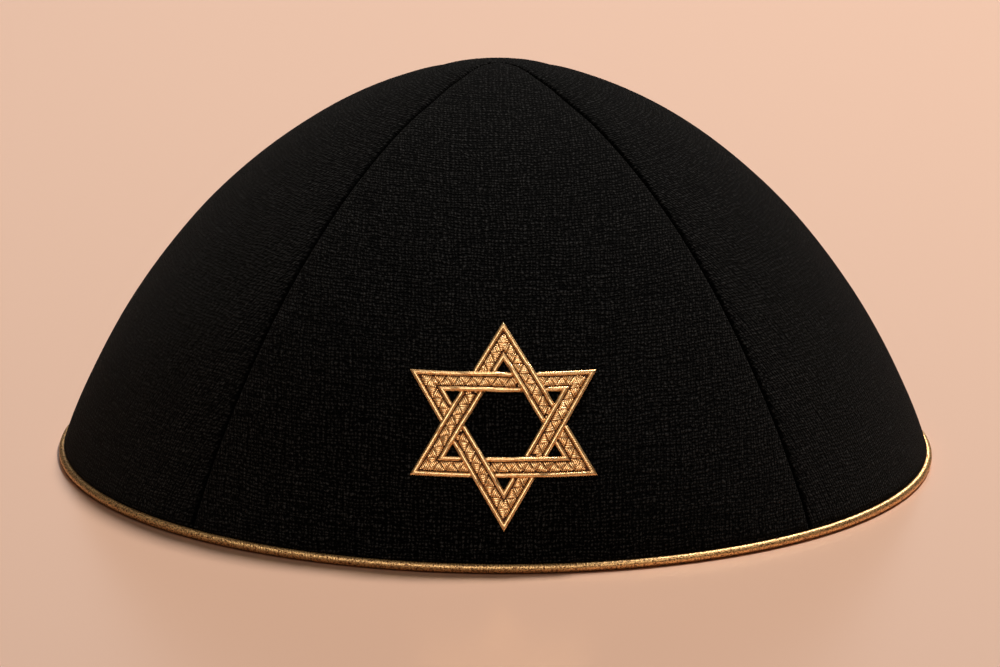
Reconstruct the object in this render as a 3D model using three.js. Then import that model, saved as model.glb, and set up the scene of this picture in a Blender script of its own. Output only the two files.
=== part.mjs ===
// A four-panel linen kippah: a stiff cloth dome standing on its corded rim.
// Millimetres, +Z up. The origin is the centre of the rim, on the surface that it stands on.
// The front panel faces -Y and carries a raised gold ornament.
import * as THREE from 'three';
import { mergeGeometries, mergeVertices } from 'three/addons/utils/BufferGeometryUtils.js';

// Driving dimensions
const RIM_RADIUS = 86;
const CLOTH_WALL = 1.6;
const HEM_WALL = 2.8;
const HEM_CLEARANCE = 0.4;
const PIPING_DIAMETER = 1.8;
const PIPING_RING_RADIUS = RIM_RADIUS - 0.45;
const GAP = 0.3;
const ORNAMENT_TIP_RADIUS = 20.5;
const ORNAMENT_BAND = 4;
const ORNAMENT_THICKNESS = 0.9;
const ORNAMENT_CENTRE_ABOVE_RIM = 28.2;

// The dome's outline: how far its skin reaches from the rim's centre, as a share of the rim
// radius, at each angle above the table.
const OUTLINE_TABLE = [
  { angle: 0, reach: 1.0 },
  { angle: 12, reach: 0.943 },
  { angle: 25, reach: 0.901 },
  { angle: 40, reach: 0.879 },
  { angle: 55, reach: 0.877 },
  { angle: 72, reach: 0.893 },
  { angle: 90, reach: 0.916 },
];

// Half of the front and back panels' spread, in degrees round the dome. They widen again at
// the crown, where their rounded tips meet over the pointed tips of the side panels.
const SEAM_TABLE = [
  { angle: 0, half: 43.7 },
  { angle: 25, half: 42.3 },
  { angle: 50, half: 41.4 },
  { angle: 70, half: 42.0 },
  { angle: 78, half: 44.0 },
  { angle: 85, half: 54.5 },
  { angle: 88, half: 72.0 },
  { angle: 90, half: 88.0 },
];

// How the cloth rolls in at a seam: distance from the seam's middle and depth below the skin.
const SEAM_ROLL_TABLE = [
  { inset: GAP / 2, dip: 0.9 },
  { inset: 0.6, dip: 0.35 },
  { inset: 1.7, dip: 0 },
];
const SEAM_DEPTH_AT_RIM = 0.45;
const SEAM_FULL_DEPTH_ANGLE = 60;
const SEAM_ROLL_ROOM = 2 * SEAM_ROLL_TABLE.at(-1).inset;

// Grid of each panel
const PLAIN_COLUMNS = 8;
const ROLL_COLUMNS = SEAM_ROLL_TABLE.length - 1;
const COLUMNS = PLAIN_COLUMNS + 2 * ROLL_COLUMNS;
const ROW_ANGLES = [6, 11, 17, 23, 29, 35, 41, 47, 53, 59, 65, 71, 76, 80, 83.5, 86.5];
const LEAST_ROW_STEP = 1;
const FRONT_TIP_RADIUS = 0.5;
const SIDE_TIP_RADIUS = 2.2;

// Grid of the rim's cord
const PIPING_SEGMENTS = 72;
const PIPING_SIDES = 8;

const LINEN = { color: 0x151415, roughness: 0.92, metalness: 0 };
const GOLD_CORD = { color: 0xc8975a, roughness: 0.42, metalness: 0.6 };
const GOLD_THREAD = { color: 0xc08a4c, roughness: 0.5, metalness: 0.4 };

// A smooth curve through one column of a table, read at any angle.
function tableCurve(table, column, crownEnding) {
  const angles = table.map((row) => row.angle);
  const values = table.map((row) => row[column]);
  const curve = new THREE.CubicInterpolant(angles, values, 1);
  curve.settings = { endingStart: THREE.ZeroCurvatureEnding, endingEnd: crownEnding };
  return (angle) => curve.evaluate(angle)[0];
}

const reachAt = tableCurve(OUTLINE_TABLE, 'reach', THREE.ZeroSlopeEnding);
const frontHalfAt = tableCurve(SEAM_TABLE, 'half', THREE.ZeroCurvatureEnding);
const sideHalfAt = (angle) => 90 - frontHalfAt(angle);

// The skin's line from the rim over to the crown, in a plane through the dome's axis: x is the
// distance from the axis and y the height.
class Meridian extends THREE.Curve {
  getPoint(share, target = new THREE.Vector2()) {
    const angle = 90 * share;
    const turn = THREE.MathUtils.degToRad(angle);
    const reach = RIM_RADIUS * reachAt(angle);
    return target.set(reach * Math.cos(turn), reach * Math.sin(turn));
  }
}

const meridian = new Meridian();

// The point that lies off the skin by an offset, measured square to it and outwards.
function skinPoint(angle, offset = 0) {
  const tangent = meridian.getTangent(angle / 90);
  const normal = new THREE.Vector2(tangent.y, -tangent.x);
  return meridian.getPoint(angle / 90).addScaledVector(normal, offset);
}

// The point of a section, swung round the dome's axis from the front.
function swing(section, azimuth) {
  return new THREE.Vector3(section.x * Math.sin(azimuth), -section.x * Math.cos(azimuth), section.y);
}

// The angle at which a rising measure reaches a value, found by halving.
function findAngle(measure, value) {
  let low = 0;
  let high = 90;
  while (high - low > 1e-9) {
    const middle = (low + high) / 2;
    if (measure(middle) < value) {
      low = middle;
    } else {
      high = middle;
    }
  }
  return low;
}

// The rows of a panel from hem to tip, each with its points on the cloth's two faces. The hem's
// outer face is notched over the piping.
function panelRows(tipRadius) {
  const notchRadius = PIPING_RING_RADIUS - PIPING_DIAMETER / 2 - GAP;
  const hemRadius = RIM_RADIUS - HEM_WALL;
  const ledge = PIPING_DIAMETER + GAP;
  const rows = [HEM_CLEARANCE, ledge].map((height) => ({
    angle: 0,
    outer: new THREE.Vector2(notchRadius, height),
    inner: new THREE.Vector2(hemRadius, height),
  }));
  const ledgeAngle = findAngle((angle) => skinPoint(angle).y, ledge);
  const tipAngle = findAngle((angle) => -skinPoint(angle).x, -tipRadius);
  const plainAngles = ROW_ANGLES.filter((angle) => angle < tipAngle - LEAST_ROW_STEP);
  for (const angle of [ledgeAngle, ...plainAngles, tipAngle]) {
    const wall = angle === ledgeAngle ? HEM_WALL : CLOTH_WALL;
    rows.push({ angle, outer: skinPoint(angle), inner: skinPoint(angle, -wall) });
  }
  return rows;
}

// A column's share of the plain cloth, from -1 at its left edge to 1 at its right edge, and its
// place in the roll of the seam beyond.
function panelColumn(index) {
  const share = (2 * (index - ROLL_COLUMNS)) / PLAIN_COLUMNS - 1;
  const fromSeam = Math.min(index, COLUMNS - index, ROLL_COLUMNS);
  return { share: THREE.MathUtils.clamp(share, -1, 1), roll: SEAM_ROLL_TABLE[fromSeam] };
}

function panelPoint(row, column, isOuter, halfAt) {
  const skinRadius = row.outer.x;
  const halfWidth = skinRadius * THREE.MathUtils.degToRad(halfAt(row.angle));
  const room = THREE.MathUtils.clamp((halfWidth - GAP / 2) / SEAM_ROLL_ROOM, 0, 1);
  const inset = GAP / 2 + (column.roll.inset - GAP / 2) * room;
  const azimuth = (column.share * (halfWidth - inset)) / skinRadius;
  const isHem = row.angle === 0;
  if (!isOuter || isHem) {
    return swing(isOuter ? row.outer : row.inner, azimuth);
  }
  const rise = Math.min(row.angle / SEAM_FULL_DEPTH_ANGLE, 1);
  const depth = THREE.MathUtils.lerp(SEAM_DEPTH_AT_RIM, 1, rise);
  return swing(skinPoint(row.angle, -column.roll.dip * depth * room), azimuth);
}

// A panel starts as a subdivided box, whose front and back become the cloth's two faces.
function panelGeometry(halfAt, tipRadius) {
  const rows = panelRows(tipRadius);
  const rowSteps = rows.length - 1;
  const box = new THREE.BoxGeometry(COLUMNS, rowSteps, 1, COLUMNS, rowSteps, 1);
  box.deleteAttribute('normal');
  box.deleteAttribute('uv');
  const geometry = mergeVertices(box);
  const position = geometry.attributes.position;
  for (let i = 0; i < position.count; i += 1) {
    const column = panelColumn(Math.round(position.getX(i) + COLUMNS / 2));
    const row = rows[Math.round(position.getY(i) + rowSteps / 2)];
    const point = panelPoint(row, column, position.getZ(i) > 0, halfAt);
    position.setXYZ(i, point.x, point.y, point.z);
  }
  return geometry;
}

// The cord round the rim: a ring whose section has a flat facet underneath to stand on.
function pipingGeometry() {
  const inradius = PIPING_DIAMETER / 2;
  const corner = inradius / Math.cos(Math.PI / PIPING_SIDES);
  const profile = [];
  for (let i = 0; i <= PIPING_SIDES; i += 1) {
    const turn = ((i % PIPING_SIDES) + 0.5) * ((2 * Math.PI) / PIPING_SIDES) - Math.PI / 2;
    const out = PIPING_RING_RADIUS + corner * Math.cos(turn);
    profile.push(new THREE.Vector2(out, inradius + corner * Math.sin(turn)));
  }
  const ring = new THREE.LatheGeometry(profile, PIPING_SEGMENTS);
  ring.rotateX(Math.PI / 2);
  return ring;
}

// The ornament is a six-pointed star of two triangles. Six straight bands make it, spaced
// evenly round its centre, each between an inner and an outer edge.
const BAND_COUNT = 6;
const INNER = -1;
const OUTER = 1;
const BAND_DISTANCE = (ORNAMENT_TIP_RADIUS - ORNAMENT_BAND) / 2;

// The direction from the star's centre square to a band.
function bandDirection(band) {
  const turn = ((2 * band + 1) * Math.PI) / BAND_COUNT;
  return new THREE.Vector2(Math.cos(turn), Math.sin(turn));
}

// The point where an edge of one band crosses an edge of another.
function crossing(bandA, edgeA, bandB, edgeB) {
  const a = bandDirection(bandA);
  const b = bandDirection(bandB);
  const distanceA = BAND_DISTANCE + (edgeA * ORNAMENT_BAND) / 2;
  const distanceB = BAND_DISTANCE + (edgeB * ORNAMENT_BAND) / 2;
  const x = (distanceA * b.y - distanceB * a.y) / a.cross(b);
  const y = (distanceB * a.x - distanceA * b.x) / a.cross(b);
  return new THREE.Vector2(x, y);
}

// Four-sided patches of the star, each with its corners in turn and its steps lengthwise.
function starPatches() {
  const patches = [];
  for (let band = 0; band < BAND_COUNT; band += 1) {
    const next = band + 1;
    const mate = band + 2;
    const fork = crossing(band, INNER, mate, INNER);
    const tip = crossing(band, OUTER, mate, OUTER);
    const foot = fork.clone().addScaledVector(bandDirection(band), ORNAMENT_BAND);
    const mateFoot = fork.clone().addScaledVector(bandDirection(mate), ORNAMENT_BAND);
    const nearInner = crossing(band, INNER, next, INNER);
    const nearOuter = crossing(band, OUTER, next, INNER);
    const farInner = crossing(band, INNER, next, OUTER);
    const farOuter = crossing(band, OUTER, next, OUTER);
    const mateNear = crossing(mate, INNER, next, INNER);
    const mateFar = crossing(mate, INNER, next, OUTER);
    const mateOuter = crossing(mate, OUTER, next, OUTER);
    patches.push({ corners: [nearInner, nearOuter, farOuter, farInner], steps: 1 });
    patches.push({ corners: [farInner, farOuter, foot, fork], steps: 2 });
    patches.push({ corners: [mateOuter, mateFar, fork, mateFoot], steps: 2 });
    patches.push({ corners: [fork, foot, tip, mateFoot], steps: 1 });
    patches.push({ corners: [farInner, nearInner, mateNear, mateFar], steps: 3 });
  }
  return patches;
}

// A patch is a plane whose four corners are drawn to their places.
function patchGeometry({ corners, steps }) {
  const plane = new THREE.PlaneGeometry(1, 1, 1, steps);
  plane.deleteAttribute('normal');
  plane.deleteAttribute('uv');
  const position = plane.attributes.position;
  for (let i = 0; i < position.count; i += 1) {
    const across = position.getX(i) + 0.5;
    const start = corners[0].clone().lerp(corners[1], across);
    const end = corners[3].clone().lerp(corners[2], across);
    const point = start.lerp(end, 0.5 - position.getY(i));
    position.setXYZ(i, point.x, point.y, 0);
  }
  return plane;
}

// The corners of a sheet's triangle, turned so that they run anticlockwise.
function turnedCorners(sheet, first) {
  const flat = sheet.attributes.position;
  const loop = [0, 1, 2].map((step) => sheet.index.getX(first + step));
  const [a, b, c] = loop.map((corner) => new THREE.Vector2(flat.getX(corner), flat.getY(corner)));
  return b.sub(a).cross(c.sub(a)) > 0 ? loop : loop.reverse();
}

// Closes a flat sheet of triangles into a plate: two faces, and a wall along each free edge.
function plateGeometry(sheet, lifts, place) {
  const flat = sheet.attributes.position;
  const points = [];
  for (const lift of lifts) {
    for (let i = 0; i < flat.count; i += 1) {
      points.push(...place(flat.getX(i), flat.getY(i), lift));
    }
  }
  const faces = [];
  const freeEdges = new Map();
  for (let first = 0; first < sheet.index.count; first += 3) {
    const [a, b, c] = turnedCorners(sheet, first);
    faces.push(a + flat.count, b + flat.count, c + flat.count, c, b, a);
    for (const edge of [[a, b], [b, c], [c, a]]) {
      const isShared = freeEdges.delete(`${edge[1]} ${edge[0]}`);
      if (!isShared) {
        freeEdges.set(`${edge[0]} ${edge[1]}`, edge);
      }
    }
  }
  for (const [from, to] of freeEdges.values()) {
    faces.push(from, to, to + flat.count, from, to + flat.count, from + flat.count);
  }
  const plate = new THREE.BufferGeometry();
  plate.setAttribute('position', new THREE.Float32BufferAttribute(points, 3));
  plate.setIndex(faces);
  return plate;
}

// A place on the front panel from the ornament's centre, across and along the cloth, and its
// lift above the skin.
function frontPanelPoint(across, along, lift) {
  const angle = 90 * meridian.getUtoTmapping(0, ORNAMENT_CENTRE_ABOVE_RIM + along);
  return swing(skinPoint(angle, lift), across / skinPoint(angle).x);
}

function ornamentGeometry() {
  const mergeDistance = 0.001;
  const sheet = mergeVertices(mergeGeometries(starPatches().map(patchGeometry)), mergeDistance);
  return plateGeometry(sheet, [GAP, GAP + ORNAMENT_THICKNESS], frontPanelPoint);
}

function piece(name, geometry, finish) {
  geometry.computeVertexNormals();
  const mesh = new THREE.Mesh(geometry, new THREE.MeshStandardMaterial(finish));
  mesh.name = name;
  return mesh;
}

const PANELS = [
  { name: 'panel_front', turn: 0, halfAt: frontHalfAt, tip: FRONT_TIP_RADIUS },
  { name: 'panel_right', turn: 90, halfAt: sideHalfAt, tip: SIDE_TIP_RADIUS },
  { name: 'panel_back', turn: 180, halfAt: frontHalfAt, tip: FRONT_TIP_RADIUS },
  { name: 'panel_left', turn: 270, halfAt: sideHalfAt, tip: SIDE_TIP_RADIUS },
];

const kippah = new THREE.Group();
for (const { name, turn, halfAt, tip } of PANELS) {
  const panel = piece(name, panelGeometry(halfAt, tip), LINEN);
  panel.rotation.z = THREE.MathUtils.degToRad(turn);
  kippah.add(panel);
}
kippah.add(piece('rim_piping', pipingGeometry(), GOLD_CORD));
kippah.add(piece('ornament', ornamentGeometry(), GOLD_THREAD));

export default kippah;
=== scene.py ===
"""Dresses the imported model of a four-panel linen kippah.

Black linen panels, a gold cord round the rim, and a star embroidered in gold thread low on the
front. Shapes are drawn in millimetres and placed in metres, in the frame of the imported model.
"""

import logging
import math
from dataclasses import dataclass, replace
from enum import Enum
from functools import cached_property

import bpy
import numpy as np
from bpy.types import Material, Node, NodeSocket, NodeTree, Object
from mathutils import Matrix, Vector, noise


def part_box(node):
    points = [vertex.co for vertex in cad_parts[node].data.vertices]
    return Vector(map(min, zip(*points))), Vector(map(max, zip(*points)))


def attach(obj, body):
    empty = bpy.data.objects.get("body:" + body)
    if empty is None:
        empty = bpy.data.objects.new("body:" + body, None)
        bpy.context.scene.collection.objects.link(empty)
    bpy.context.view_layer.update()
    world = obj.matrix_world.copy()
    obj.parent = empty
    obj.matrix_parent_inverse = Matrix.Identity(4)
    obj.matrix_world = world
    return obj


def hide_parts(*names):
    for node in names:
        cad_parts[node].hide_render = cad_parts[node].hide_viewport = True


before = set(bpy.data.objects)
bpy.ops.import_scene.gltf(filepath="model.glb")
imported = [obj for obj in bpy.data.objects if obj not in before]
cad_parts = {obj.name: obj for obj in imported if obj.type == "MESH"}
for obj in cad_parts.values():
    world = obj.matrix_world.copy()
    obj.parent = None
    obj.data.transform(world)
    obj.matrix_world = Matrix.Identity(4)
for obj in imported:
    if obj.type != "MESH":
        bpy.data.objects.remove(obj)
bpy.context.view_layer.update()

MM = 0.001
# The ring through the cord's middle is this much smaller than the dome's rim, in millimetres.
CORD_INSET = 0.45
PART_BODY = "root"

log = logging.getLogger("kippah")


class Slot(Enum):
    """The record's material slots."""

    LINEN = "linen"
    GOLD_CORD = "gold_cord"
    GOLD_THREAD = "gold_thread"


class Facing(Enum):
    """The way that a panel faces, in degrees round the dome from the front."""

    FRONT = 0
    RIGHT = 90
    BACK = 180
    LEFT = 270


def srgb(code: str) -> tuple[float, float, float, float]:
    """Turns a colour from sRGB hex to linear.

    Args:
        code: Six hex digits.

    Returns:
        Red, green, blue and alpha, as Blender's sockets take them.
    """
    parts = [int(code[i : i + 2], 16) / 255 for i in (0, 2, 4)]
    linear = [p / 12.92 if p <= 0.04045 else ((p + 0.055) / 1.055) ** 2.4 for p in parts]
    return (*linear, 1.0)


def add_node(tree: NodeTree, kind: str, inputs: dict | None = None, **settings: object) -> Node:
    """Adds a shader node with its settings and links.

    Args:
        tree: The material's node tree.
        kind: The node's type, without the ShaderNode that starts its name.
        inputs: Sockets by name or number, each with a value or with the socket that feeds it.
        settings: The node's own properties.

    Returns:
        The new node.
    """
    node = tree.nodes.new("ShaderNode" + kind)
    for name, value in settings.items():
        setattr(node, name, value)
    for name, value in (inputs or {}).items():
        if isinstance(value, NodeSocket):
            tree.links.new(value, node.inputs[name])
        else:
            node.inputs[name].default_value = value
    return node


def band_scale(pitch: float) -> float:
    """The wave texture's scale for a band every pitch. At one it draws a band every pi / 10."""
    return math.pi / 10 / pitch


def blank_material(name: str) -> tuple[Material, NodeTree]:
    """Makes a material whose node tree is empty.

    Args:
        name: The material's name.

    Returns:
        The material and its node tree.
    """
    material = bpy.data.materials.new(name)
    material.use_nodes = True
    material.node_tree.nodes.clear()
    return material, material.node_tree


@dataclass(frozen=True)
class SmoothTable:
    """A smooth curve through a short table, whose slope at a row is the mean of its two sides'."""

    places: tuple[float, ...]
    values: tuple[float, ...]
    level_at_end: bool = False

    def at(self, place: np.ndarray) -> np.ndarray:
        """Reads the curve.

        Args:
            place: Where it is read.

        Returns:
            Its value at each place.
        """
        x, y = np.array(self.places), np.array(self.values)
        secant = np.diff(y) / np.diff(x)
        last = 0.0 if self.level_at_end else secant[-1]
        slope = np.concatenate([secant[:1], (secant[1:] + secant[:-1]) / 2, [last]])
        i = np.clip(np.searchsorted(x, place, side="right") - 1, 0, len(secant) - 1)
        step = x[i + 1] - x[i]
        t = (place - x[i]) / step
        start = (2 * t**3 - 3 * t**2 + 1) * y[i] + (t**3 - 2 * t**2 + t) * step * slope[i]
        end = (3 * t**2 - 2 * t**3) * y[i + 1] + (t**3 - t**2) * step * slope[i + 1]
        return start + end


@dataclass
class DomeSkin:
    """The cap's outer skin: a dome of revolution, and the seams that part it into panels.

    Lengths are in millimetres. An arc is measured up the skin from the rim.
    """

    rim_radius: float
    # At each angle above the table, seen from the rim's middle: how far off the skin is, in rim
    # radii, and half of the front panel's width, in degrees round the dome.
    outline: SmoothTable = SmoothTable(
        places=(0, 12, 25, 40, 55, 72, 90),
        values=(1.0, 0.943, 0.901, 0.879, 0.877, 0.893, 0.916),
        level_at_end=True,
    )
    front_half: SmoothTable = SmoothTable(
        places=(0, 25, 50, 70, 78, 85, 88, 90),
        values=(43.7, 42.3, 41.4, 42.0, 44.0, 54.5, 72.0, 88.0),
    )
    samples: int = 3601

    @cached_property
    def angle(self) -> np.ndarray:
        """The angles above the table at which the skin is sampled, in degrees."""
        return np.linspace(0, 90, self.samples)

    @cached_property
    def section(self) -> np.ndarray:
        """The skin's line from rim to crown.

        Returns:
            Distance from the axis and height, in the last dimension.
        """
        reach = self.rim_radius * self.outline.at(self.angle)
        turn = np.radians(self.angle)
        return np.stack([reach * np.cos(turn), reach * np.sin(turn)], axis=1)

    @cached_property
    def arc(self) -> np.ndarray:
        """The arc from the rim at each sample."""
        steps = np.linalg.norm(np.diff(self.section, axis=0), axis=1)
        return np.concatenate([[0], np.cumsum(steps)])

    @cached_property
    def normal(self) -> np.ndarray:
        """The outward direction at each sample.

        Returns:
            Its two parts in the plane of the section, in the last dimension.
        """
        tangent = np.gradient(self.section, axis=0)
        tangent /= np.linalg.norm(tangent, axis=1, keepdims=True)
        return np.stack([tangent[:, 1], -tangent[:, 0]], axis=1)

    def arc_at_height(self, height: float) -> float:
        """The arc at which the skin reaches a height."""
        return float(np.interp(height, self.section[:, 1], self.arc))

    def arc_at_radius(self, radius: float) -> float:
        """The arc at which the skin comes within a radius of the axis."""
        return float(np.interp(-radius, -self.section[:, 0], self.arc))

    def lifted(self, arc: np.ndarray, lift: np.ndarray) -> np.ndarray:
        """Points off the skin, in the plane of the section.

        Args:
            arc: Each point's arc.
            lift: Its height above the skin, below zero inside.

        Returns:
            Distance from the axis and height, in the last dimension.
        """
        line = [np.interp(arc, self.arc, self.section[:, i]) for i in (0, 1)]
        out = [np.interp(arc, self.arc, self.normal[:, i]) for i in (0, 1)]
        return np.stack([line[0] + lift * out[0], line[1] + lift * out[1]], axis=-1)

    def half_width(self, arc: np.ndarray, is_side: bool) -> np.ndarray:
        """Half of a panel's width across the skin.

        Args:
            arc: Where it is measured.
            is_side: Whether the panel is the right or left one.

        Returns:
            The distance from the panel's middle to its seam.
        """
        half = self.front_half.at(np.interp(arc, self.arc, self.angle))
        radius = np.interp(arc, self.arc, self.section[:, 0])
        return radius * np.radians(90 - half if is_side else half)


def swing(section: np.ndarray, azimuth: np.ndarray) -> np.ndarray:
    """Swings points of the section round the dome's axis.

    Args:
        section: Distance from the axis and height, in the last dimension.
        azimuth: The turn from the front, in radians.

    Returns:
        Points in three dimensions.
    """
    radius, height = section[..., 0], section[..., 1]
    return np.stack([radius * np.sin(azimuth), -radius * np.cos(azimuth), height], axis=-1)


@dataclass
class Surface:
    """Four-sided faces over points, with each corner's place along the cloth or thread.

    The seam shade says how far each point lies in a seam, from 0 to 1; it is painted as shade.
    """

    points: np.ndarray
    faces: np.ndarray
    corners: np.ndarray
    seam_shade: np.ndarray | None = None

    @classmethod
    def joined(cls, parts: list["Surface"]) -> "Surface":
        """Several surfaces as one.

        Args:
            parts: The surfaces.

        Returns:
            One surface that holds them all.
        """
        starts = np.cumsum([0] + [len(p.points) for p in parts[:-1]])
        return cls(
            points=np.concatenate([p.points for p in parts]),
            faces=np.concatenate([p.faces + start for p, start in zip(parts, starts)]),
            corners=np.concatenate([p.corners for p in parts]),
        )

    def as_piece(self, name: str, material: Material, slot: Slot, node: str) -> None:
        """Makes the surface an object that stands for a CAD node.

        Args:
            name: The piece's name.
            material: Its finish.
            slot: The record's slot for that finish. Not used.
            node: The CAD node that it replaces.
        """
        mesh = bpy.data.meshes.new(name)
        mesh.from_pydata((self.points * MM).tolist(), [], self.faces.tolist())
        grain = mesh.uv_layers.new(name="grain")
        grain.data.foreach_set("uv", self.corners.astype(np.float32).ravel())
        if self.seam_shade is not None:
            seam_shade = mesh.attributes.new("seam_shade", "FLOAT", "POINT")
            seam_shade.data.foreach_set("value", self.seam_shade)
        mesh.shade_smooth()
        mesh.materials.append(material)
        piece = bpy.data.objects.new(name, mesh)
        bpy.context.scene.collection.objects.link(piece)
        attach(piece, PART_BODY)
        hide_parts(node)
        log.info("%s: %d faces, %s, for %s", name, len(self.faces), material.name, node)


def lattice(
    rows: int, columns: int, ring_rows: bool = False, ring_columns: bool = False
) -> tuple[np.ndarray, np.ndarray]:
    """The faces of a grid of points.

    Args:
        rows: How many rows of points.
        columns: How many points in a row.
        ring_rows: Whether the last row joins the first.
        ring_columns: Whether each row's last point joins its first.

    Returns:
        Four point numbers for each face, and the row and column of each of those corners.
    """
    row, column = np.meshgrid(
        np.arange(rows if ring_rows else rows - 1),
        np.arange(columns if ring_columns else columns - 1),
        indexing="ij",
    )
    corner_rows = np.stack([row, row, row + 1, row + 1], axis=-1).reshape(-1, 4)
    corner_columns = np.stack([column, column + 1, column + 1, column], axis=-1).reshape(-1, 4)
    faces = (corner_rows % rows) * columns + corner_columns % columns
    return faces, np.stack([corner_rows, corner_columns], axis=-1)


@dataclass(frozen=True)
class ThreadNoise:
    """Noise over the cloth, which makes its threads uneven.

    The rate is in steps a millimetre, across and along. A rate of 0.12 changes about every 8 mm.
    """

    rate: tuple[float, float]
    detail: float
    roughness: float = 0.6

    def crosswise(self) -> "ThreadNoise":
        """The same noise for the threads that run the other way."""
        return replace(self, rate=self.rate[::-1])

    def read(self, tree: NodeTree, grain: NodeSocket) -> Node:
        """Adds the noise to a material.

        Args:
            tree: The material's node tree.
            grain: The place across and along the cloth, in millimetres.

        Returns:
            The noise's node.
        """
        place = add_node(tree, "VectorMath", {0: grain, 1: (*self.rate, 1.0)}, operation="MULTIPLY")
        return add_node(
            tree,
            "TexNoise",
            {
                "Vector": place.outputs[0],
                "Scale": 1.0,
                "Detail": self.detail,
                "Roughness": self.roughness,
            },
        )


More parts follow.
